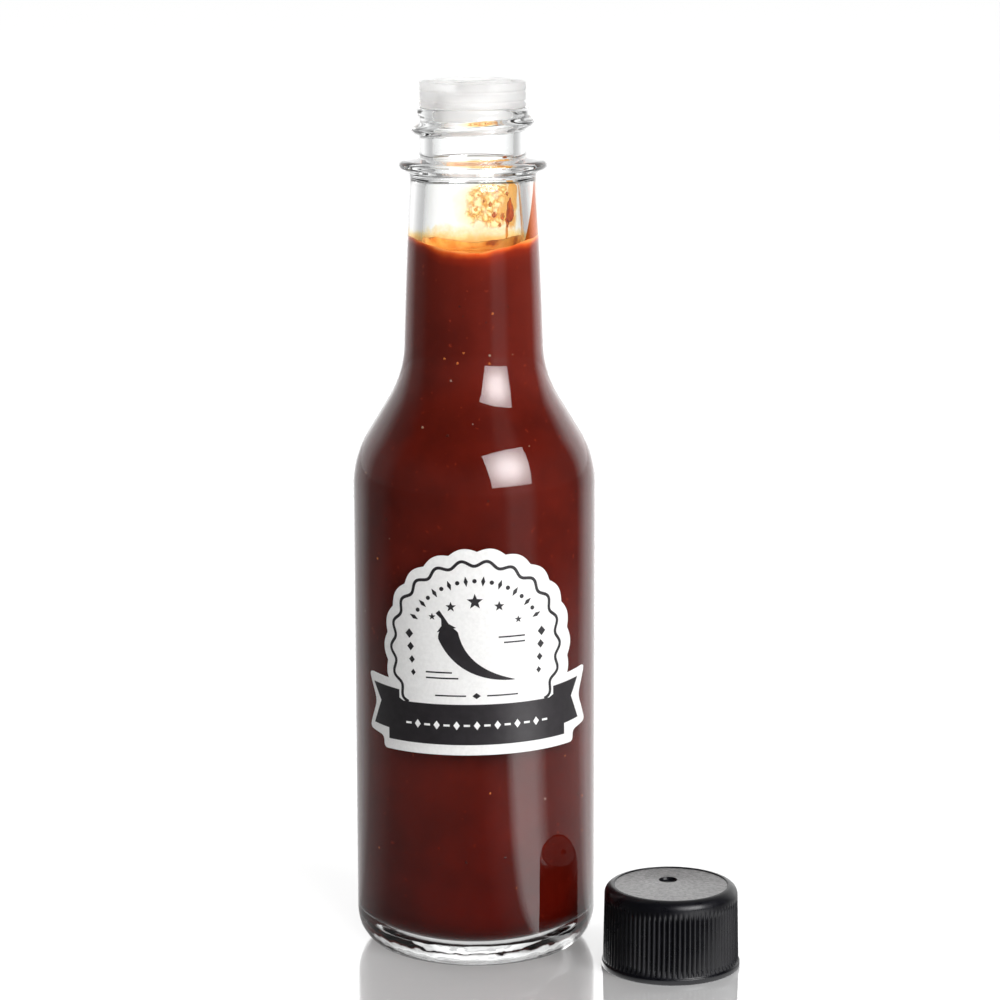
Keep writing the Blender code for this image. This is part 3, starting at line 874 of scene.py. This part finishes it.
def flat_star(shape, along, z, reach, points=5, hollow=0.42):
    """A flat star, or a round dot where hollow is 1."""
    made = bmesh.ops.create_circle(shape, cap_ends=True, segments=points * 2, radius=reach * MM)["verts"]
    for vert in made[1::2]:
        vert.co *= hollow
    upright = Matrix.Translation((along * MM, 0, z * MM)) @ Matrix.Rotation(math.pi / 2, 4, "X")
    bmesh.ops.transform(shape, matrix=upright, verts=made)


def flat_diamond(shape, along, z, width, height):
    corners = [(0, -height / 2), (width / 2, 0), (0, height / 2), (-width / 2, 0)]
    flat_patch(shape, [(along + step, z + rise) for step, rise in corners])


def wrap(shape, along, inner_r, thickness):
    """Bends a flat shape round the bottle and gives it a thickness outwards."""
    tilt = Matrix.Rotation(math.radians(-LABEL_TILT), 4, "Y")
    centre = Matrix.Translation((along * MM, 0, SEAL_Z * MM))
    bmesh.ops.transform(
        shape, matrix=centre @ tilt @ Matrix.Translation((0, 0, -SEAL_Z * MM)), verts=shape.verts,
    )
    bmesh.ops.triangulate(shape, faces=shape.faces, ngon_method="EAR_CLIP")
    cuts = int(TAIL_REACH) + 2
    for i in range(-cuts, cuts + 1):
        everything = shape.verts[:] + shape.edges[:] + shape.faces[:]
        bmesh.ops.bisect_plane(shape, geom=everything, plane_co=(i * MM, 0, 0), plane_no=(1, 0, 0))
    bmesh.ops.remove_doubles(shape, verts=shape.verts, dist=0.000002)
    flat = shape.faces[:]
    outer = bmesh.ops.extrude_face_region(shape, geom=flat, use_keep_orig=True)["geom"]
    lifted = {item for item in outer if isinstance(item, bmesh.types.BMVert)}
    for vert in shape.verts:
        turn = vert.co.x / MM / BODY_R
        radius = (inner_r + (thickness if vert in lifted else 0)) * MM
        vert.co.x = radius * math.sin(turn)
        vert.co.y = -radius * math.cos(turn)
    bmesh.ops.recalc_face_normals(shape, faces=shape.faces)


def label_outline():
    """The label laid flat, centred on its own middle: a scalloped seal on a ribbon with notched tails."""
    tail_join = math.asin((TAIL_TOP_Z - 0.6 - SEAL_Z) / SEAL_R)
    count = SCALLOPS * 12
    points = []
    for i in range(count + 1):
        turn = tail_join + (math.pi - 2 * tail_join) * i / count
        bump_share = abs(math.sin(SCALLOPS * (turn - math.pi / 2) / 2))
        reach = SEAL_R - SCALLOP_DEPTH * (1 - bump_share)
        points.append((reach * math.cos(turn), SEAL_Z + reach * math.sin(turn)))
    middle_z = (TAIL_TOP_Z + TAIL_LOW_Z) / 2
    left = [
        (-SEAL_R, TAIL_TOP_Z - 0.3), (-TAIL_REACH, TAIL_TOP_Z), (-TAIL_REACH + TAIL_NOTCH, middle_z),
        (-TAIL_REACH, TAIL_LOW_Z), (-BAND_REACH, TAIL_LOW_Z - 1.0), (-BAND_REACH, LABEL_LOW_Z),
        (0, LABEL_LOW_Z),
    ]
    left = rounded(left, LABEL_CORNER_R)[1:]
    right = [(-along, z) for along, z in reversed(left[:-1])]
    return points + left + right


def paper_label():
    shape = bmesh.new()
    flat_patch(shape, label_outline())
    wrap(shape, LABEL_ALONG, PAPER_R, PAPER_T)
    piece(
        shape, "white_label", [white_paper()], BOTTLE_AT, sharp=40, replaces="paper_label",
    )


def ribbon_print(shape):
    """The dark ribbon: a band with two notched tails behind it."""
    tail_mid = (INK_TAIL_LOW + INK_TAIL_HIGH) / 2 + 0.6
    left = [
        (-INK_TAIL_ROOT + 1.0, INK_BAND_HIGH), (-INK_TAIL_ROOT, INK_BAND_HIGH + 0.5),
        (-INK_TAIL_ROOT, INK_TAIL_HIGH - 0.6), (-INK_TAIL_REACH, INK_TAIL_HIGH),
        (-INK_TAIL_REACH + INK_TAIL_NOTCH, tail_mid), (-INK_TAIL_REACH, INK_TAIL_LOW),
        (-INK_BAND_REACH, INK_TAIL_LOW - 0.4), (-INK_BAND_REACH, INK_BAND_LOW),
    ]
    right = [(-along, z) for along, z in reversed(left)]
    flat_patch(shape, left + right)


def wavy_line(shape):
    """The line that follows the scallops, from one tail over the top to the other."""
    start = math.asin((INK_BAND_HIGH - SEAL_Z) / WAVE_R)
    count = SCALLOPS * 16
    points = []
    for i in range(count + 1):
        turn = start + (math.pi - 2 * start) * i / count
        reach = WAVE_R - WAVE_H * math.cos(SCALLOPS * (turn - math.pi / 2))
        points.append((reach * math.cos(turn), SEAL_Z + reach * math.sin(turn)))
    flat_line(shape, points, [LINE_W] * len(points))


def arch_of_diamonds(shape):
    """A row of small upright diamonds and dots below the wavy line."""
    for i in range(ARCH_MARKS):
        turn = math.radians(ARCH_FROM + ARCH_SPAN * i / (ARCH_MARKS - 1))
        outward = Vector((math.cos(turn), math.sin(turn)))
        along, z = outward * ARCH_R + Vector((0, SEAL_Z))
        if i % 2:
            flat_star(shape, along, z, DOT_R, points=8, hollow=1.0)
        else:
            ends = [Vector((along, z)) + outward * step for step in (-ARCH_MARK_REACH, 0, ARCH_MARK_REACH)]
            flat_line(shape, [tuple(end) for end in ends], [0.05, 0.8, 0.05])


def pepper(shape):
    """A curved chilli pod that tapers to a point, with its cap and stalk."""
    start, bend, tip = Vector((-5.6, 68.2)), Vector((-3.6, 59.4)), Vector((7.4, 58.0))
    count = 36
    points, widths = [], []
    for i in range(count + 1):
        t = i / count
        points.append(tuple(start * (1 - t) ** 2 + bend * 2 * t * (1 - t) + tip * t ** 2))
        widths.append(0.1 + 4.3 * min(1.0, (t / 0.1 + 0.25)) ** 0.5 * (1 - t) ** 0.85)
    flat_line(shape, points, widths)
    stalk = [(-5.5, 67.9), (-5.75, 68.9), (-6.2, 70.2), (-7.2, 71.4)]
    flat_line(shape, stalk, [3.9, 1.5, 0.7, 0.95])


def small_motifs(shape):
    """Stars over the pod, short rules beside it, columns of diamonds at the sides."""
    flat_star(shape, 0, 73.4, 1.6)
    for side in (-1, 1):
        flat_star(shape, side * 4.6, 72.4, 1.05)
        flat_star(shape, side * 8.3, 69.6 if side > 0 else 70.4, 0.75)
        for row in range(4):
            along, z = side * (13.2 - 0.25 * row), 66.8 - 2.5 * row
            flat_diamond(shape, along, z, 1.7 - 0.22 * row, 1.9 - 0.2 * row)
        flat_line(shape, [(side * 2.0, 55.1), (side * 8.0, 55.1)], [0.28, 0.28])
    flat_diamond(shape, 0, 55.1, 1.6, 1.2)
    for start, end, z in RULES:
        flat_line(shape, [(start, z), (end, z)], [RULE_W, RULE_W])


def ribbon_marks(shape):
    """The row of pale diamonds and dashes on the ribbon."""
    for i in range(-7, 8):
        along = i * PALE_MARK_STEP
        if i % 2:
            flat_line(shape, [(along - 0.6, PALE_MARKS_Z), (along + 0.6, PALE_MARKS_Z)], [0.4, 0.4])
        else:
            flat_diamond(shape, along, PALE_MARKS_Z, 1.25, 1.7)


def label_print():
    dark = bmesh.new()
    for draw in (ribbon_print, wavy_line, arch_of_diamonds, pepper, small_motifs):
        draw(dark)
    outer_r = PAPER_R + PAPER_T
    wrap(dark, PRINT_ALONG, outer_r - 0.005, INK_T)
    piece(dark, "dark_print", [black_ink()], BOTTLE_AT, sharp=40)
    pale = bmesh.new()
    ribbon_marks(pale)
    wrap(pale, PRINT_ALONG, outer_r + 0.005, INK_T)
    piece(pale, "pale_print", [white_paper()], BOTTLE_AT, sharp=40)


# Cap

def black_plastic():
    """Black moulded plastic with a satin gloss."""
    made, tree, shader = new_material("black_plastic")
    set_inputs(tree, shader, {"Base Color": (0.0025, 0.0025, 0.004, 1), "Specular IOR Level": 0.22})
    give_gloss(tree, shader, object_point(tree), 400.0, 0.26, 0.36, 0.00002)
    return made


def grained_plastic():
    """The matte, speckled top disc of the cap."""
    made, tree, shader = new_material("grained_plastic")
    grain = noise_at(tree, object_point(tree), 1600.0, detail=3.0)
    colour = ramp(tree, grain, [(0.35, (0.07, 0.068, 0.068)), (0.65, (0.17, 0.165, 0.165))])
    set_inputs(tree, shader, {
        "Base Color": colour, "Roughness": 0.42, "IOR": 1.8, "Normal": bump(tree, grain, 0.00009),
    })
    return made


def cap_outline():
    disc_z = CAP_H - CAP_STEP
    points = [(0, disc_z - GATE_DEPTH), (GATE_R, disc_z - GATE_DEPTH), (GATE_R + 0.1, disc_z)]
    points += [(CAP_DISC_R, disc_z), (CAP_DISC_R + 0.15, CAP_H)]
    points = rounded(points, 0.12, 2)
    points += arc((CAP_TOP_R - CAP_EDGE_R, CAP_H - CAP_EDGE_R), CAP_EDGE_R, 84, 0, 10)
    skirt_top = points[-1]
    points += bowed(skirt_top, (CAP_LOW_R, RIB_LOW_Z), 0, 20)
    low = [(CAP_LOW_R, 1.3), (CAP_RIM_R, 1.05), (CAP_RIM_R, 0), (CAP_BORE_R, 0), (CAP_BORE_R, 0.8)]
    points += rounded([points[-1], *low], 0.25, 3)[1:]
    return points + [(CAP_BORE_R, CAP_CEILING_Z), (0, CAP_CEILING_Z)]


def screw_cap():
    shape = turned(cap_outline(), RIBS * STEPS_A_RIB)
    for vert in shape.verts:
        angle, radius, z = polar(vert.co)
        if z > CAP_CEILING_Z + 0.5 and radius < CAP_DISC_R:
            share = min(1.0, (CAP_DISC_R - radius) / (CAP_DISC_R - GATE_R - 0.2))
            vert.co += Vector((GATE_SHIFT[0], GATE_SHIFT[1], 0)) * share * MM
        fade = min(1.0, max(0.0, (z - RIB_LOW_Z) / 0.5), max(0.0, (RIB_TOP_Z - z) / 0.8))
        if radius > CAP_BORE_R + 0.3 and fade > 0:
            groove = 0.5 - 0.5 * math.cos(math.radians(angle) * RIBS)
            set_radius(vert.co, radius - RIB_DEPTH * fade * groove ** RIB_SHARP)
    disc_z = (CAP_H - CAP_STEP) * MM
    for face in shape.faces:
        centre = face.calc_center_median()
        if abs(centre.z - disc_z) < 0.00005 and centre.xy.length < CAP_DISC_R * MM:
            face.material_index = 1
    piece(
        shape, "black_cap", [black_plastic(), grained_plastic()], CAP_AT, sharp=50,
        replaces="screw_cap",
    )


# Studio

def ray_kinds(tree):
    """Masks of the kinds of ray: seen by the camera, mirrored, or come through the glass."""
    path = add(tree, "ShaderNodeLightPath").outputs
    solid = maths(tree, "SUBTRACT", 1.0, path["Is Transmission Ray"])
    mirrored = maths(tree, "MULTIPLY", path["Is Glossy Ray"], solid)
    return path["Is Camera Ray"], mirrored, path["Is Transmission Ray"]


def set_light():
    """A group: how light the set is in a direction, as mirrored, as lighting and as seen through glass."""
    tables = {"Mirrored": MIRRORED, "Lighting": LIGHTING, "Through": THROUGH, "Near": NEAR}
    group, given, result = new_group("set_light", {"Direction": "NodeSocketVector"}, tables)
    parts = parts_of(group, given["Direction"])
    turn = maths(group, "ARCTAN2", parts["X"], parts["Y"])
    share = maths(group, "MULTIPLY_ADD", turn, 1 / math.tau, 0.5)
    far = vector_maths(group, "LENGTH", given["Direction"], output="Value")
    rise = maths(group, "DIVIDE", parts["Z"], far)
    ceiling = moved_range(group, rise, *CEILING_RISE, 1.0, CEILING)
    nearness = moved_range(group, far, NEAR_TO, NEAR_FROM, interpolation_type="SMOOTHSTEP")
    factors = {"Mirrored": ceiling, "Lighting": 1.0, "Through": ceiling, "Near": nearness}
    for name, levels in tables.items():
        value = ramp(group, share, [(0.5 + degrees / 360, level) for degrees, level in levels])
        set_inputs(group, result, {name: maths(group, "MULTIPLY", value, factors[name])})
    return group


def set_levels(tree, direction, group):
    return add(tree, "ShaderNodeGroup", {"Direction": direction}, node_tree=group).outputs


def studio_world(group):
    """A white backdrop behind the bottle; what the glass mirrors from the sides and front is dim."""
    world = bpy.data.worlds.new("studio")
    bpy.context.scene.world = world
    world.use_nodes = True
    tree = world.node_tree
    levels = set_levels(tree, add(tree, "ShaderNodeTexCoord").outputs["Generated"], group)
    seen, in_mirror, in_glass = ray_kinds(tree)
    level = mix_level(tree, in_glass, levels["Lighting"], levels["Through"])
    level = mix_level(tree, in_mirror, level, levels["Mirrored"])
    level = mix_level(tree, seen, level, BACKDROP)
    set_inputs(tree, tree.nodes["Background"], {
        "Color": (1, 1, 1, 1), "Strength": maths(tree, "MULTIPLY", level, LEVEL_SCALE),
    })


def table_top(group):
    """A pale glossy floor. In mirrors and through glass it is as light as the backdrop on its side."""
    made, tree, shader = new_material("table_top")
    tree.nodes.remove(shader)
    levels = set_levels(tree, object_point(tree), group)
    seen, in_mirror, in_glass = ray_kinds(tree)
    pale = mix_level(tree, maths(tree, "MAXIMUM", seen, in_glass), FLOOR_DIM, FLOOR_PALE)
    tint = add(tree, "ShaderNodeCombineColor", {0: pale, 1: pale, 2: pale})
    matte = add(tree, "ShaderNodeBsdfDiffuse", {"Color": tint.outputs["Color"]})
    mirror = add(tree, "ShaderNodeBsdfGlossy", {"Roughness": 0.02})
    skin = add(tree, "ShaderNodeFresnel", {"IOR": 1.5})
    real = mix_shaders(tree, mix_level(tree, seen, skin.outputs["Fac"], FLOOR_MIRROR), matte, mirror)
    near_too = maths(tree, "MULTIPLY_ADD", levels["Mirrored"], FLOOR_GLOW, levels["Near"])
    level = mix_level(tree, in_glass, near_too, levels["Through"])
    glow = add(tree, "ShaderNodeEmission", {"Strength": maths(tree, "MULTIPLY", level, LEVEL_SCALE)})
    show(tree, mix_shaders(tree, maths(tree, "MAXIMUM", in_mirror, in_glass), real, glow))
    return made


def studio_piece(shape, name, surface):
    """Puts a finished mesh of the studio in the scene."""
    mesh = bpy.data.meshes.new(name)
    shape.to_mesh(mesh)
    shape.free()
    mesh.materials.append(surface)
    made = bpy.data.objects.new(name, mesh)
    bpy.context.scene.collection.objects.link(made)
    return made


def floor(group):
    shape = bmesh.new()
    bmesh.ops.create_grid(shape, x_segments=1, y_segments=1, size=FLOOR_HALF)
    studio_piece(shape, "floor", table_top(group))


def soft_box_place():
    """Where the soft box stands: at the front right, facing the bottle's middle."""
    turn, rise = math.radians(SOFT_BOX_TURN), math.radians(SOFT_BOX_RISE)
    towards = Vector((math.sin(turn) * math.cos(rise), -math.cos(turn) * math.cos(rise), math.sin(rise)))
    at = BOTTLE_AT + Vector((0, 0, SHOULDER_Z * MM)) + towards * SOFT_BOX_AWAY
    return Matrix.Translation(at) @ towards.to_track_quat("Z", "Y").to_matrix().to_4x4()


def soft_box_lamp():
    """The light that the soft box throws on matte things."""
    data = bpy.data.lights.new("soft_box_lamp", "AREA")
    data.shape = "RECTANGLE"
    data.size = SOFT_BOX_SIZE[0]
    data.size_y = SOFT_BOX_SIZE[1]
    data.energy = LAMP_POWER
    lamp = bpy.data.objects.new("soft_box_lamp", data)
    lamp.matrix_world = soft_box_place()
    lamp.visible_camera = False
    lamp.visible_glossy = False
    bpy.context.scene.collection.objects.link(lamp)


def glowing_cloth():
    """White cloth lit from behind, brightest at its middle."""
    made, tree, shader = new_material("soft_box_cloth")
    tree.nodes.remove(shader)
    half = (2 / SOFT_BOX_SIZE[0], 2 / SOFT_BOX_SIZE[1], 1)
    scaled = add(tree, "ShaderNodeMapping", {"Vector": object_point(tree), "Scale": half})
    away = vector_maths(tree, "LENGTH", scaled.outputs["Vector"], output="Value")
    fall = moved_range(tree, away, 0.1, 1.25, CLOTH_MIDDLE, CLOTH_EDGE, interpolation_type="SMOOTHSTEP")
    show(tree, add(tree, "ShaderNodeEmission", {"Strength": fall}))
    return made


def soft_box_cloth():
    """The cloth of the soft box, which shiny things mirror."""
    shape = bmesh.new()
    bmesh.ops.create_grid(shape, x_segments=1, y_segments=1, size=0.5)
    bmesh.ops.scale(shape, vec=(*SOFT_BOX_SIZE, 1), verts=shape.verts)
    cloth = studio_piece(shape, "soft_box_cloth", glowing_cloth())
    cloth.matrix_world = soft_box_place()
    cloth.visible_camera = False
    cloth.visible_diffuse = False
    cloth.visible_shadow = False


def camera():
    data = bpy.data.cameras.new("camera")
    data.lens = LENS
    data.sensor_width = SENSOR
    made = bpy.data.objects.new("camera", data)
    pitch = Matrix.Rotation(math.radians(90 - CAMERA_PITCH), 4, "X")
    roll = Matrix.Rotation(math.radians(-CAMERA_ROLL), 4, "Z")
    made.matrix_world = Matrix.Translation(CAMERA_AT) @ pitch @ roll
    bpy.context.scene.collection.objects.link(made)
    bpy.context.scene.camera = made


def main():
    bpy.context.scene.view_settings.view_transform = "Standard"
    camera()
    group = set_light()
    studio_world(group)
    floor(group)
    soft_box_lamp()
    soft_box_cloth()
    glass_bottle()
    chilli_sauce()
    wall_film()
    lumps_on_wall()
    flecks_in_sauce()
    dripper_insert()
    paper_label()
    label_print()
    screw_cap()


main()
